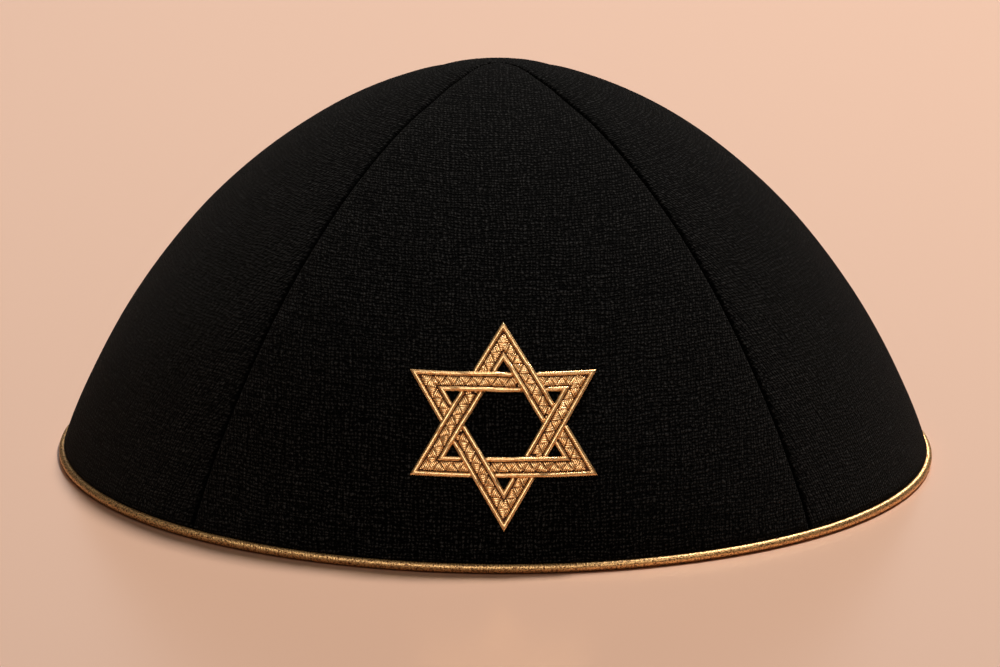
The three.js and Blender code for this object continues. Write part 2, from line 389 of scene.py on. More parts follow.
@dataclass(frozen=True)
class BlackLinen:
    """Plain-weave linen, piece-dyed black.

    The eye sees a matt near-black with a small grid of round thread tops, uneven because flax
    spins uneven, and a grey bloom of fibre ends where the cloth turns away. The colour holds
    painted light: a painted highlight on the thread tops, and black painted shade in the gaps
    and down the threads' flanks. Reaches and depths are in millimetres.
    """

    # Cap linen has a thread about every 0.4 mm, too fine to show in the render. It is drawn at
    # 0.7 mm, and its relief is as much deeper.
    thread_pitch: float = 0.7
    relief: float = 0.22
    # The shade is black painted shade in the gaps and down the threads' flanks; the thread top's
    # highlight is a painted highlight where the weave stands high.
    shade: str = "000000"
    thread_top_highlight: str = "2c2b2a"
    bloom: str = "8a857f"
    roughness: float = 0.85
    ior: float = 1.45
    specular: float = 0.02
    sheen: float = 0.08
    sheen_roughness: float = 0.5
    # All threads wander together over 8 mm, crowd together and part every 1.6 mm, and each
    # wobbles every millimetre.
    wander: ThreadNoise = ThreadNoise(rate=(0.12, 0.12), detail=3.0)
    wander_reach: float = 1.7
    crowding: ThreadNoise = ThreadNoise(rate=(0.62, 0.09), detail=1.0)
    crowding_reach: float = 1.1
    wobble: ThreadNoise = ThreadNoise(rate=(0.9, 0.9), detail=2.0)
    wobble_reach: float = 0.8
    # A slub is one thread wide and about 8 mm long. A spot is one thread top. Noise hardly
    # leaves the span that is given.
    noise_span: tuple[float, float] = (0.3, 0.7)
    slub: ThreadNoise = ThreadNoise(rate=(1.4, 0.12), detail=2.0)
    slub_fullness: tuple[float, float] = (0.7, 1.25)
    spot: ThreadNoise = ThreadNoise(rate=(1.5, 1.5), detail=1.0, roughness=0.7)
    spot_fullness: tuple[float, float] = (0.45, 1.4)
    # A low power keeps a thread's top broad and lets its edge fall steeply.
    round_power: float = 0.9
    long_power: float = 0.45
    # Between these heights the colour goes from the painted shade to the painted highlight.
    lit_heights: tuple[float, float] = (0.54, 1.35)

    def material(self) -> Material:
        """Builds the cloth's material.

        Returns:
            The material, whose threads fade out in the seams.
        """
        material, tree = blank_material("black_plain_weave_linen")
        grain = add_node(tree, "UVMap", uv_map="grain").outputs["UV"]
        height, tops = self.weave(tree, grain)
        # In a seam's roll the colour fades to black, as painted shade, and the relief flattens.
        seam_shade = add_node(tree, "Attribute", attribute_name="seam_shade").outputs["Fac"]
        open_cloth = add_node(tree, "Math", {0: 1.0, 1: seam_shade}, operation="SUBTRACT")
        shown, raised = (
            add_node(tree, "Math", {0: part, 1: open_cloth.outputs[0]}, operation="MULTIPLY").outputs[0]
            for part in (tops, height)
        )
        # Painted shade in the gaps, a painted highlight on the thread tops, and in the seams painted
        # shade alone.
        colour = add_node(
            tree,
            "Mix",
            {"Factor": shown, "A": srgb(self.shade), "B": srgb(self.thread_top_highlight)},
            data_type="RGBA",
        )
        bump = add_node(tree, "Bump", {"Strength": 1.0, "Distance": self.relief * MM, "Height": raised})
        shader = add_node(
            tree,
            "BsdfPrincipled",
            {
                "Base Color": colour.outputs["Result"],
                "Roughness": self.roughness,
                "IOR": self.ior,
                "Specular IOR Level": self.specular,
                "Sheen Weight": self.sheen,
                "Sheen Roughness": self.sheen_roughness,
                "Sheen Tint": srgb(self.bloom),
                "Normal": bump.outputs["Normal"],
            },
        )
        add_node(tree, "OutputMaterial", {"Surface": shader.outputs["BSDF"]})
        return material

    def weave(self, tree: NodeTree, grain: NodeSocket) -> tuple[NodeSocket, NodeSocket]:
        """Draws the threads.

        Args:
            tree: The material's node tree.
            grain: The place across and along the cloth, in millimetres.

        Returns:
            The height of the weave, and the share of the painted highlight over the painted shade.
        """
        turns = add_node(
            tree,
            "VectorMath",
            {0: self.pushed(tree, grain), "Scale": math.pi / self.thread_pitch},
            operation="SCALE",
        )
        waves = add_node(tree, "VectorMath", {0: turns.outputs[0]}, operation="SINE")
        sides = add_node(tree, "SeparateXYZ", {"Vector": waves.outputs[0]})
        crossing = add_node(
            tree,
            "Math",
            {0: sides.outputs["X"], 1: sides.outputs["Y"]},
            operation="MULTIPLY",
        )
        warp_on_top = add_node(tree, "Math", {0: crossing.outputs[0], 1: 0.0}, operation="GREATER_THAN")
        size = add_node(tree, "VectorMath", {0: waves.outputs[0]}, operation="ABSOLUTE")
        parts = add_node(tree, "SeparateXYZ", {"Vector": size.outputs[0]})
        threads, slubs = [], []
        for across, along, slub in (("X", "Y", self.slub), ("Y", "X", self.slub.crosswise())):
            powers = [
                add_node(tree, "Math", {0: parts.outputs[axis], 1: power}, operation="POWER").outputs[0]
                for axis, power in ((across, self.round_power), (along, self.long_power))
            ]
            thread = add_node(tree, "Math", {0: powers[0], 1: powers[1]}, operation="MULTIPLY")
            threads.append(thread.outputs[0])
            slubs.append(self.fullness(tree, grain, slub, self.slub_fullness))
        top, slub_on_top = (
            add_node(tree, "Mix", {"Factor": warp_on_top.outputs[0], "A": weft, "B": warp}).outputs[0]
            for warp, weft in (threads, slubs)
        )
        spots = self.fullness(tree, grain, self.spot, self.spot_fullness)
        full = add_node(tree, "Math", {0: slub_on_top, 1: spots}, operation="MULTIPLY")
        height = add_node(tree, "Math", {0: top, 1: full.outputs[0]}, operation="MULTIPLY")
        low, high = self.lit_heights
        tops = add_node(
            tree,
            "MapRange",
            {"Value": height.outputs[0], "From Min": low, "From Max": high},
        )
        return height.outputs[0], tops.outputs["Result"]

    def pushed(self, tree: NodeTree, grain: NodeSocket) -> NodeSocket:
        """Pushes the threads about.

        Args:
            tree: The material's node tree.
            grain: The place across and along the cloth, in millimetres.

        Returns:
            The place on the straight grid of threads that shows there.
        """
        pushes = (
            (self.wander, (self.wander_reach, self.wander_reach, 0.0)),
            (self.crowding, (self.crowding_reach, 0.0, 0.0)),
            (self.crowding.crosswise(), (0.0, self.crowding_reach, 0.0)),
            (self.wobble, (self.wobble_reach, self.wobble_reach, 0.0)),
        )
        place = grain
        for push, reach in pushes:
            centred = add_node(
                tree,
                "VectorMath",
                {0: push.read(tree, grain).outputs["Color"], 1: (0.5, 0.5, 0.5)},
                operation="SUBTRACT",
            )
            place = add_node(
                tree,
                "VectorMath",
                {0: centred.outputs[0], 1: reach, 2: place},
                operation="MULTIPLY_ADD",
            ).outputs[0]
        return place

    def fullness(
        self,
        tree: NodeTree,
        grain: NodeSocket,
        source: ThreadNoise,
        span: tuple[float, float],
    ) -> NodeSocket:
        """Draws the thick and thin places of the threads.

        Args:
            tree: The material's node tree.
            grain: The place across and along the cloth, in millimetres.
            source: The noise that they follow.
            span: The fullness at a thin place and at a thick one.

        Returns:
            The fullness, about one on average.
        """
        low, high = self.noise_span
        thin, thick = span
        full = add_node(
            tree,
            "MapRange",
            {
                "Value": source.read(tree, grain).outputs["Fac"],
                "From Min": low,
                "From Max": high,
                "To Min": thin,
                "To Max": thick,
            },
            clamp=False,
        )
        return full.outputs["Result"]


@dataclass(frozen=True)
class MetallisedYarn:
    """Yarn wrapped in gold metallised film, under a thin clear lacquer.

    The film gives the eye a satin gold and the lacquer a paler highlight. Noise mixes in the
    shadow colour: at random a darker tone, and where the noise also sinks the relief, painted
    shade in the dents. Pitches and depths are in millimetres, rates in steps a millimetre.
    """

    name: str
    gold: str
    shadow: str
    metallic: float
    roughness: float
    lacquer: float
    lacquer_roughness: float
    filament_pitch: float
    filament_waver: float
    waver_scale: float
    tone_rate: float
    tone_roughness: float
    tone_span: tuple[float, float]
    tone_relief: float
    relief: float
    relief_strength: float
    waver_detail: float = 2.0
    tone_detail: float = 3.0

    def material(self) -> Material:
        """Builds the yarn's material.

        Returns:
            The material.
        """
        material, tree = blank_material(self.name)
        grain = add_node(tree, "UVMap", uv_map="grain").outputs["UV"]
        filaments = add_node(
            tree,
            "TexWave",
            {
                "Vector": grain,
                "Scale": band_scale(self.filament_pitch),
                "Distortion": self.filament_waver,
                "Detail": self.waver_detail,
                "Detail Scale": self.waver_scale,
            },
            wave_type="BANDS",
            bands_direction="X",
        )
        tone = add_node(
            tree,
            "TexNoise",
            {
                "Vector": grain,
                "Scale": self.tone_rate,
                "Detail": self.tone_detail,
                "Roughness": self.tone_roughness,
            },
        )
        dark, light = self.tone_span
        shade = add_node(
            tree,
            "MapRange",
            {"Value": tone.outputs["Fac"], "From Min": dark, "From Max": light},
        )
        colour = add_node(
            tree,
            "Mix",
            {"Factor": shade.outputs["Result"], "A": srgb(self.shadow), "B": srgb(self.gold)},
            data_type="RGBA",
        )
        height = add_node(
            tree,
            "Math",
            {0: tone.outputs["Fac"], 1: self.tone_relief, 2: filaments.outputs["Fac"]},
            operation="MULTIPLY_ADD",
        )
        bump = add_node(
            tree,
            "Bump",
            {
                "Strength": self.relief_strength,
                "Distance": self.relief * MM,
                "Height": height.outputs[0],
            },
        )
        shader = add_node(
            tree,
            "BsdfPrincipled",
            {
                "Base Color": colour.outputs["Result"],
                "Metallic": self.metallic,
                "Roughness": self.roughness,
                "Coat Weight": self.lacquer,
                "Coat Roughness": self.lacquer_roughness,
                "Normal": bump.outputs["Normal"],
            },
        )
        add_node(tree, "OutputMaterial", {"Surface": shader.outputs["BSDF"]})
        return material


@dataclass(frozen=True)
class GoldCordYarn(MetallisedYarn):
    """Gold metallised yarn, wound into a cord.

    The eye sees a satin gold with dark brown specks where the plies part, painted shade in the dents.
    """

    name: str = "gold_metallised_yarn"
    gold: str = "ffcd88"
    # Painted shade: this dark brown fills the dents where the plies part.
    shadow: str = "642400"
    metallic: float = 0.9
    roughness: float = 0.38
    lacquer: float = 0.3
    lacquer_roughness: float = 0.3
    # Metallised filaments are under 0.1 mm wide, and are drawn wider so that they show.
    filament_pitch: float = 0.16
    filament_waver: float = 1.5
    waver_scale: float = 2.0
    # The plies part about every half millimetre, and there the dark colour is painted shade.
    tone_rate: float = 2.2
    tone_roughness: float = 0.7
    tone_span: tuple[float, float] = (0.39, 0.53)
    tone_relief: float = 1.0
    relief: float = 0.026
    relief_strength: float = 0.8


@dataclass(frozen=True)
class GoldEmbroideryThread(MetallisedYarn):
    """Gold metallised embroidery thread, laid side by side in satin stitch.

    The eye sees bright rounded cords with a silky highlight across the threads, and a warmer
    gold here and there.
    """

    name: str = "gold_satin_stitch_thread"
    gold: str = "fed294"
    shadow: str = "d8944c"
    metallic: float = 0.84
    roughness: float = 0.32
    lacquer: float = 0.6
    lacquer_roughness: float = 0.25
    # These are drawn wider than the real ones too.
    filament_pitch: float = 0.14
    filament_waver: float = 1.0
    waver_scale: float = 1.0
    # The tone changes about every 0.8 mm, or twice the width of a thread.
    tone_rate: float = 1.3
    tone_roughness: float = 0.65
    tone_span: tuple[float, float] = (0.32, 0.58)
    tone_relief: float = 0.0
    relief: float = 0.018
    relief_strength: float = 0.3


@dataclass(frozen=True)
class PaddingPaintedShade:
    """Brown cotton thread, run to and fro under the gold to raise it.

    The eye sees only a dark matt brown between the gold threads. The padding is real; its dark
    brown is partly painted shade in the grooves. The pitch is that of the real thread, in
    millimetres.
    """

    # Partly the padding's own brown and partly painted shade between the gold threads.
    shade: str = "4c260c"
    roughness: float = 0.8
    ior: float = 1.47
    thread_pitch: float = 0.4
    thread_waver: float = 1.0
    relief: float = 0.08
    relief_strength: float = 0.6

    def material(self) -> Material:
        """Builds the padding's material.

        Returns:
            The material.
        """
        material, tree = blank_material("padding_painted_shade")
        grain = add_node(tree, "UVMap", uv_map="grain").outputs["UV"]
        threads = add_node(
            tree,
            "TexWave",
            {"Vector": grain, "Scale": band_scale(self.thread_pitch), "Distortion": self.thread_waver},
            wave_type="BANDS",
            bands_direction="X",
        )
        bump = add_node(
            tree,
            "Bump",
            {
                "Strength": self.relief_strength,
                "Distance": self.relief * MM,
                "Height": threads.outputs["Fac"],
            },
        )
        shader = add_node(
            tree,
            "BsdfPrincipled",
            {
                "Base Color": srgb(self.shade),
                "Roughness": self.roughness,
                "IOR": self.ior,
                "Normal": bump.outputs["Normal"],
            },
        )
        add_node(tree, "OutputMaterial", {"Surface": shader.outputs["BSDF"]})
        return material


@dataclass(frozen=True)
class PaleFloor:
    """A smooth pale stone floor, honed.

    The eye sees a warm pale tone with a soft reflection of what stands on it.
    """

    shade: str = "f0c0a2"
    roughness: float = 0.25
    ior: float = 1.5

    def material(self) -> Material:
        """Builds the floor's material.

        Returns:
            The material.
        """
        material, tree = blank_material("honed_pale_stone")
        shader = add_node(
            tree,
            "BsdfPrincipled",
            {"Base Color": srgb(self.shade), "Roughness": self.roughness, "IOR": self.ior},
        )
        add_node(tree, "OutputMaterial", {"Surface": shader.outputs["BSDF"]})
        return material


@dataclass
class LinenPanel:
    """One of the four gores of the dome: a closed wall of cloth, rolled in at its seams.

    Lengths are in millimetres.
    """

    skin: DomeSkin
    facing: Facing
    node: str
    wall: float = 1.6
    hem_wall: float = 2.8
    hem_fade: float = 5.0
    plain_step: float = 1.2
    # Towards the crown the rows lie closer together.
    crown_reach: float = 9.0
    crown_rows: int = 18
    # The outer faces stay this far from a seam's middle, and the inner ones pass it, so that no
    # light comes through.
    seam_gap: float = 0.22
    lining_overlap: float = 0.02
    roll_width: float = 1.0
    roll_depth: float = 1.4
    roll_depth_at_rim: float = 0.8
    full_depth_arc: float = 60.0
    roll_columns: int = 9
    shoulder_width: float = 3.2
    shoulder_depth: float = 0.3
    shoulder_columns: int = 5
    # Near the crown a panel is narrow. Its roll and its gap shrink there, once half of the panel
    # is less than this many times as wide.
    roll_room: float = 2.5
    gap_room: float = 3.0
    # How near the panels' tips come to the dome's axis at the crown.
    front_tip_radius: float = 0.5
    front_lining_tip_radius: float = 0.05
    side_tip_radius: float = 2.2
    # The hem's outer side from its lower edge upwards: distance beyond the dome's rim, and height.
    hem_profile: tuple[tuple[float, float], ...] = (
        (-1.62, 0.45),
        (-1.62, 0.9),
        (-1.5, 1.4),
        (-1.15, 1.76),
        (-0.72, 1.86),
    )
    skin_start: float = 2.0
    swell_height: float = 0.12
    swell_length: float = 17.0
    swell_fade_rows: int = 6
    swell_centre_height: float = 20.0

    @property
    def is_side(self) -> bool:
        """Whether this is the right or left panel."""
        return self.facing in (Facing.RIGHT, Facing.LEFT)

    def arcs(self) -> np.ndarray:
        """The arcs of the rows above the hem.

        Returns:
            Arcs from the hem to the tip, closer together near the crown.
        """
        start = self.skin.arc_at_height(self.skin_start)
        tip = self.side_tip_radius if self.is_side else self.front_tip_radius
        end = self.skin.arc_at_radius(tip)
        crown = end - self.crown_reach
        lower = np.linspace(start, crown, round((crown - start) / self.plain_step))
        upper = np.linspace(crown, end, self.crown_rows + 1)[1:]
        return np.concatenate([lower, upper])

    def insets(self) -> np.ndarray:
        """Where the columns that draw the roll and the shoulder lie.

        Returns:
            Distances from the seam inwards.
        """
        turn = np.linspace(0, math.pi / 2, self.roll_columns)
        roll = self.roll_width * (1 - np.cos(turn))
        shoulder = np.linspace(self.roll_width, self.shoulder_width, self.shoulder_columns)[1:]
        return self.seam_gap + np.concatenate([roll, shoulder])

    def dips(self) -> np.ndarray:
        """How deep the cloth lies at each of those columns, as a share of the roll's depth.

        Returns:
            One at the seam and zero on the open cloth.
        """
        inset = self.insets() - self.seam_gap
        roll = 1 - np.sqrt(np.clip(1 - (1 - inset / self.roll_width).clip(0) ** 2, 0, 1))
        shoulder = (1 - inset / self.shoulder_width).clip(0) ** 2 * self.shoulder_depth
        return np.maximum(roll, shoulder)

    def across(self, arcs: np.ndarray) -> tuple[np.ndarray, np.ndarray]:
        """Where each row's points lie across the cloth.

        Args:
            arcs: The rows' arcs.

        Returns:
            Each point's distance from the panel's middle, and how deep it lies in the roll.
        """
        half = self.skin.half_width(arcs, self.is_side)[:, None]
        insets = self.insets()
        last = insets[-1]
        room = np.clip(half / (self.roll_room * last), 0, 1)
        plain_count = round(2 * float(half.max()) / self.plain_step)
        share = np.linspace(-1, 1, plain_count)[None, :]
        plain = share * (half - last * room)
        left = -(half - insets[None, :-1] * room)
        right = half - insets[None, -2::-1] * room
        dip = self.dips()[:-1]
        dips = np.concatenate([dip, np.zeros(plain_count), dip[::-1]])[None, :] * room
        return np.concatenate([left, plain, right], axis=1), dips

    def surface(self) -> Surface:
        """Builds the cloth.

        Returns:
            The panel's closed surface.
        """
        rows_above = self.arcs()
        start = rows_above[0]
        arcs = np.concatenate([np.full(len(self.hem_profile), start), rows_above])
        across, dips = self.across(arcs)
        grid_arcs = np.repeat(arcs[:, None], across.shape[1], axis=1)
        depth = np.interp(arcs, [0, self.full_depth_arc], [self.roll_depth_at_rim, self.roll_depth])
        outer = self.skin.lifted(grid_arcs, -dips * depth[:, None])
        inner_arcs = grid_arcs.copy()
        if not self.is_side:
            inner_arcs[-1] = self.skin.arc_at_radius(self.front_lining_tip_radius)
        wall = np.interp(arcs, [start, start + self.hem_fade], [self.hem_wall, self.wall])
        inner = self.skin.lifted(inner_arcs, -np.repeat(wall[:, None], across.shape[1], axis=1))
        along = grid_arcs.copy()
        for row, (out, height) in enumerate(self.hem_profile):
            outer[row] = (self.skin.rim_radius + out, height)
            inner[row] = (self.skin.rim_radius - self.hem_wall, height)
            along[row] = start - (self.skin_start - height)
        radius = np.interp(arcs, self.skin.arc, self.skin.section[:, 0])
        azimuth = across / radius[:, None]
        turn = math.radians(self.facing.value)
        half = self.skin.half_width(arcs, self.is_side)[:, None]
        gap = self.seam_gap * np.clip(half / (self.gap_room * self.seam_gap), 0, 1)
        closer = (half + self.lining_overlap) / (half - gap)
        outer_points = self.swelled(swing(outer, azimuth + turn), dips)
        inner_points = swing(inner, azimuth * closer + turn)
        return self.closed(outer_points, inner_points, np.stack([across, along], axis=-1), dips)

    def swelled(self, points: np.ndarray, dips: np.ndarray) -> np.ndarray:
        """Lets the cloth swell and sink a little, as sewn cloth does.

        Args:
            points: The outer face's points. Those of the hem stay.
            dips: How deep each lies in the seam's roll.

        Returns:
            The moved points.
        """
        rows, columns, _ = points.shape
        hem_rows = len(self.hem_profile)
        swell = np.zeros((rows, columns))
        for row in range(hem_rows, rows):
            for column in range(columns):
                swell[row, column] = noise.noise(Vector(points[row, column]) / self.swell_length)
        above_hem = np.clip((np.arange(rows) - hem_rows) / self.swell_fade_rows, 0, 1)
        fade = above_hem[:, None] * (1 - dips)
        outward = points - np.array([0.0, 0.0, self.swell_centre_height])
        outward /= np.linalg.norm(outward, axis=-1, keepdims=True)
        return points + outward * (self.swell_height * swell * fade)[..., None]

    def closed(
        self, outer: np.ndarray, inner: np.ndarray, grain: np.ndarray, dips: np.ndarray
    ) -> Surface:
        """Joins the cloth's two faces round their edge.

        Args:
            outer: The outer face's grid of points.
            inner: The inner face's grid of points.
            grain: The place of each across and along the cloth.
            dips: How deep each point of the outer face lies in the seam's roll.

        Returns:
            One closed surface.
        """
        rows, columns, _ = outer.shape
        faces, _ = lattice(rows, columns)
        count = rows * columns
        numbers = np.arange(count).reshape(rows, columns)
        edge = np.concatenate(
            [numbers[0, :-1], numbers[:-1, -1], numbers[-1, :0:-1], numbers[:0:-1, 0]]
        )
        after = np.roll(edge, -1)
        walls = np.stack([after, edge, edge + count, after + count], axis=1)
        all_faces = np.concatenate([faces, faces[:, ::-1] + count, walls])
        places = np.concatenate([grain.reshape(-1, 2)] * 2)
        # How far a point lies down the seam's roll, which the material paints as shade.
        seam_shade = np.clip((dips - self.shoulder_depth) / self.shoulder_depth, 0, 1).ravel()
        return Surface(
            points=np.concatenate([outer.reshape(-1, 3), inner.reshape(-1, 3)]),
            faces=all_faces,
            corners=places[all_faces],
            seam_shade=np.concatenate([seam_shade, np.zeros(count)]).astype(np.float32),
        )

    def build(self, linen: Material) -> None:
        """Makes the panel a piece and dresses it.

        Args:
            linen: The cloth's material.
        """
        self.surface().as_piece(f"linen_{self.facing.name.lower()}", linen, Slot.LINEN, self.node)


@dataclass
class RimCord:
    """The cord sewn round the rim: a core with gold yarn wound round it, turn against turn.

    Lengths are in millimetres. The yarn of such a cord is about 0.4 mm wide, too fine to show in
    the render, so its turns are drawn 0.56 mm apart.
    """

    ring_radius: float
    diameter: float
    winding_pitch: float = 0.56
    strands: int = 3
    winding_depth: float = 0.13
    # The turns stray and part unevenly over about a millimetre.
    stray: float = 0.9
    parting: float = 0.8
    stray_size: float = 1.3
    fluff: float = 0.04
    fluff_size: float = 0.42
    ring_step: float = 0.115
    sides: int = 18

    @property
    def turns(self) -> int:
        """Whole turns that each strand makes round the core."""
        return round(2 * math.pi * self.ring_radius / (self.winding_pitch * self.strands))

    def surface(self) -> Surface:
        """Builds the cord.

        Returns:
            The cord's closed surface.
        """
        rings = round(2 * math.pi * self.ring_radius / self.ring_step)
        half = self.diameter / 2
        along = 2 * math.pi * np.arange(rings)[:, None] / rings
        turn = -2 * math.pi * np.arange(self.sides)[None, :] / self.sides
        plain = self.tube(along, turn, np.full((rings, self.sides), half))
        loose = self.noise_at(plain / self.stray_size)
        fluff = self.noise_at(plain / self.fluff_size)
        phase = self.strands * (self.turns * along + turn) / 2 + self.stray * loose
        groove = (1 - np.abs(np.sin(phase))) ** 2 * (1 + self.parting * loose)
        radius = half * (1 - self.winding_depth * groove) - self.fluff * (1 + fluff) / 2
        points = self.tube(along, turn, radius)
        faces, places = lattice(rings, self.sides, ring_rows=True, ring_columns=True)
        scale = np.array([self.ring_step, math.pi * self.diameter / self.sides])
        return Surface(points=points.reshape(-1, 3), faces=faces, corners=places * scale)

    def tube(self, along: np.ndarray, turn: np.ndarray, radius: np.ndarray) -> np.ndarray:
        """Points round the ring that the cord's middle follows.

        Args:
            along: Each row's angle round the ring.
            turn: Each column's angle round the cord.
            radius: Each point's distance from the cord's middle.

        Returns:
            A grid of points in three dimensions.
        """
        out = self.ring_radius + radius * np.cos(turn)
        height = self.diameter / 2 + radius * np.sin(turn)
        return swing(np.stack([out, height], axis=-1), np.broadcast_to(along, radius.shape))

    def noise_at(self, points: np.ndarray) -> np.ndarray:
        """Reads smooth noise at a grid of points.

        Args:
            points: The points.

        Returns:
            A value from about -1 to 1 at each.
        """
        values = [noise.noise(Vector(point)) for point in points.reshape(-1, 3)]
        return np.array(values).reshape(points.shape[:-1])

    def build(self, yarn: Material) -> None:
        """Makes the cord a piece and dresses it.

        Args:
            yarn: The yarn's material.
        """
        self.surface().as_piece("rim_cord", yarn, Slot.GOLD_CORD, "rim_piping")


@dataclass
class StarEmbroidery:
    """A six-pointed star of two woven triangles, in satin-stitch cords round a slanting filling.

    Across and along are measured on the cloth from the star's middle, in millimetres.
    """

    skin: DomeSkin
    tip_radius: float = 20.5
    band: float = 4.0
    bands: int = 6
    centre_above_rim: float = 28.2
    cord_width: float = 0.98
    cord_height: float = 0.52
    cord_lift: float = 0.42
    cord_sides: int = 10
    path_step: float = 0.1
    # Real stitches lie about 0.3 mm apart, too fine to show in the render. The borders' stitches
    # are drawn 0.5 mm apart, and the filling's threads 0.42 mm wide.
    stitch_pitch: float = 0.5
    stitch_depth: float = 0.05
    stitch_slant: float = 0.35
    # A band rises over its neighbour on a long ramp and dives under the other on a short one.
    over_lift: float = 0.3
    over_ramp: float = 1.9
    under_sink: float = 0.45
    under_lead: float = 0.15
    under_ramp: float = 0.6
    padding_height: float = 0.5
    padding_inset: float = 0.588
    fill_thread: float = 0.42
    fill_flatness: float = 0.6
    fill_clearance: float = 0.12
    fill_group: float = 1.2
    fill_threads_per_group: int = 6
    fill_lift: float = 0.58
    # A thread shorter than the full arch's span rises less.
    fill_arch: float = 0.16
    fill_arch_power: float = 0.6
    full_arch_span: float = 1.2
    thread_rings: int = 7
    thread_sides: int = 6
    # A thread narrows steeply at its ends, to this share of its width.
    end_steepness: float = 3.0
    end_width: float = 0.4
    # Shorter threads are left out, and those that reach further than this under another band.
    shortest_thread: float = 0.25
    hidden_margin: float = 0.2
    # How far the ends, the height and the width of a thread stray, as hand-guided work does, and
    # how far apart two threads read their finish.
    start_scatter: float = 0.015
    end_scatter: float = 0.03
    lift_scatter: float = 0.015
    width_scatter: float = 0.05
    grain_scatter: float = 40.0
    grain_stretch: float = 1.3
    seed: int = 11

    @property
    def distance(self) -> float:
        """From the star's middle to the middle of a band."""
        return (self.tip_radius - self.band) / 2

    def direction(self, band: int) -> np.ndarray:
        """The direction from the star's middle square to a band."""
        turn = (2 * band + 1) * math.pi / self.bands
        return np.array([math.cos(turn), math.sin(turn)])

    def on_band(self, band: int, out: np.ndarray, along: np.ndarray) -> np.ndarray:
        """Points on a band.

        Args:
            band: The band's number.
            out: Distance from the star's middle, square to the band.
            along: Distance along the band from its own middle.

        Returns:
            Points across and along the cloth.
        """
        out_way = self.direction(band)
        along_way = np.array([-out_way[1], out_way[0]])
        return np.multiply.outer(out, out_way) + np.multiply.outer(along, along_way)

    def weave_lift(self, band: int, points: np.ndarray) -> np.ndarray:
        """How far a band rises over the next band and sinks under the one before.

        Args:
            band: The band's number.
            points: Points of it.

        Returns:
            The lift at each point.
        """
        edge = self.band / 2
        over = np.abs(points @ self.direction(band + 1) - self.distance)
        under = np.abs(points @ self.direction(band - 1) - self.distance)
        rise = np.clip((edge + self.over_ramp - over) / self.over_ramp, 0, 1)
        sink = np.clip((edge + self.under_lead - under) / self.under_ramp, 0, 1)
        rise = rise * rise * (3 - 2 * rise)
        sink = sink * sink * (3 - 2 * sink)
        return self.over_lift * rise - self.under_sink * sink

    def place(self, points: np.ndarray, lift: np.ndarray) -> np.ndarray:
        """Lays points of the star on the front panel.

        Args:
            points: Across and along, in the last dimension.
            lift: Each point's height above the skin.

        Returns:
            Points in three dimensions.
        """
        arc = self.centre_above_rim + points[..., 1]
        radius = self.skin.lifted(arc, np.zeros_like(lift))[..., 0]
        return swing(self.skin.lifted(arc, lift), points[..., 0] / radius)

    def cord_loop(
        self,
        first_band: int,
        out: float,
        half_width: float,
        half_height: float,
        lift: float,
        ridges: float = 0.0,
    ) -> Surface:
        """Sweeps a rounded cord round one triangle, mitred at its three tips.

        Args:
            first_band: The band that the triangle starts with.
            out: From the star's middle to the cord's middle.
            half_width: Half of the cord's width.
            half_height: Half of its height.
            lift: Its middle's height above the skin.
            ridges: How deep the stitches part, as a share of the cord.

        Returns:
            The cord's closed surface.
        """
        inner_end = (out - half_width) * math.sqrt(3)
        outer_end = (out + half_width) * math.sqrt(3)
        count = round(2 * outer_end / self.path_step)
        outer_along = np.linspace(outer_end, -outer_end, count, endpoint=False)
        inner_along = outer_along * (inner_end / outer_end)
        centres, laterals, lifts = [], [], []
        for band in (first_band + 4, first_band + 2, first_band):
            inner = self.on_band(band, np.full(count, out - half_width), inner_along)
            outer = self.on_band(band, np.full(count, out + half_width), outer_along)
            centre = (inner + outer) / 2
            centres.append(centre)
            laterals.append((outer - inner) / 2)
            lifts.append(self.weave_lift(band, centre))
        centre, lateral = np.concatenate(centres), np.concatenate(laterals)
        rise = np.concatenate(lifts)
        section = 2 * math.pi * np.arange(self.cord_sides) / self.cord_sides
        side = np.cos(section)[None, :]
        along = np.arange(len(centre))[:, None] * self.path_step
        stitch = (along + self.stitch_slant * side * half_width) / self.stitch_pitch
        ridge = 1 - ridges * (1 - np.abs(np.sin(math.pi * stitch)))
        points = centre[:, None, :] + lateral[:, None, :] * (side * ridge)[..., None]
        height = lift + rise[:, None] + half_height * np.sin(section)[None, :] * ridge
        faces, places = lattice(len(centre), self.cord_sides, ring_rows=True, ring_columns=True)
        girth = math.pi * (half_width + half_height)
        scale = np.array([self.path_step, girth / self.cord_sides])
        return Surface(self.place(points, height).reshape(-1, 3), faces, places * scale)

    def borders(self) -> Surface:
        """Builds the satin-stitch cords along the bands' edges.

        Returns:
            Both triangles' inner and outer cords.
        """
        half = self.cord_width / 2
        edge = self.band / 2 - half
        height, lift, depth = self.cord_height, self.cord_lift, self.stitch_depth
        loops = [
            self.cord_loop(first, self.distance + way * edge, half, height, lift, depth)
            for first in (0, 1)
            for way in (-1, 1)
        ]
        return Surface.joined(loops)

    def padding(self) -> Surface:
        """Builds the low padding under the filling.

        Returns:
            Both triangles' padding.
        """
        half = self.band / 2 - self.padding_inset
        loops = [
            self.cord_loop(first, self.distance, half, self.padding_height, lift=0.0)
            for first in (0, 1)
        ]
        return Surface.joined(loops)

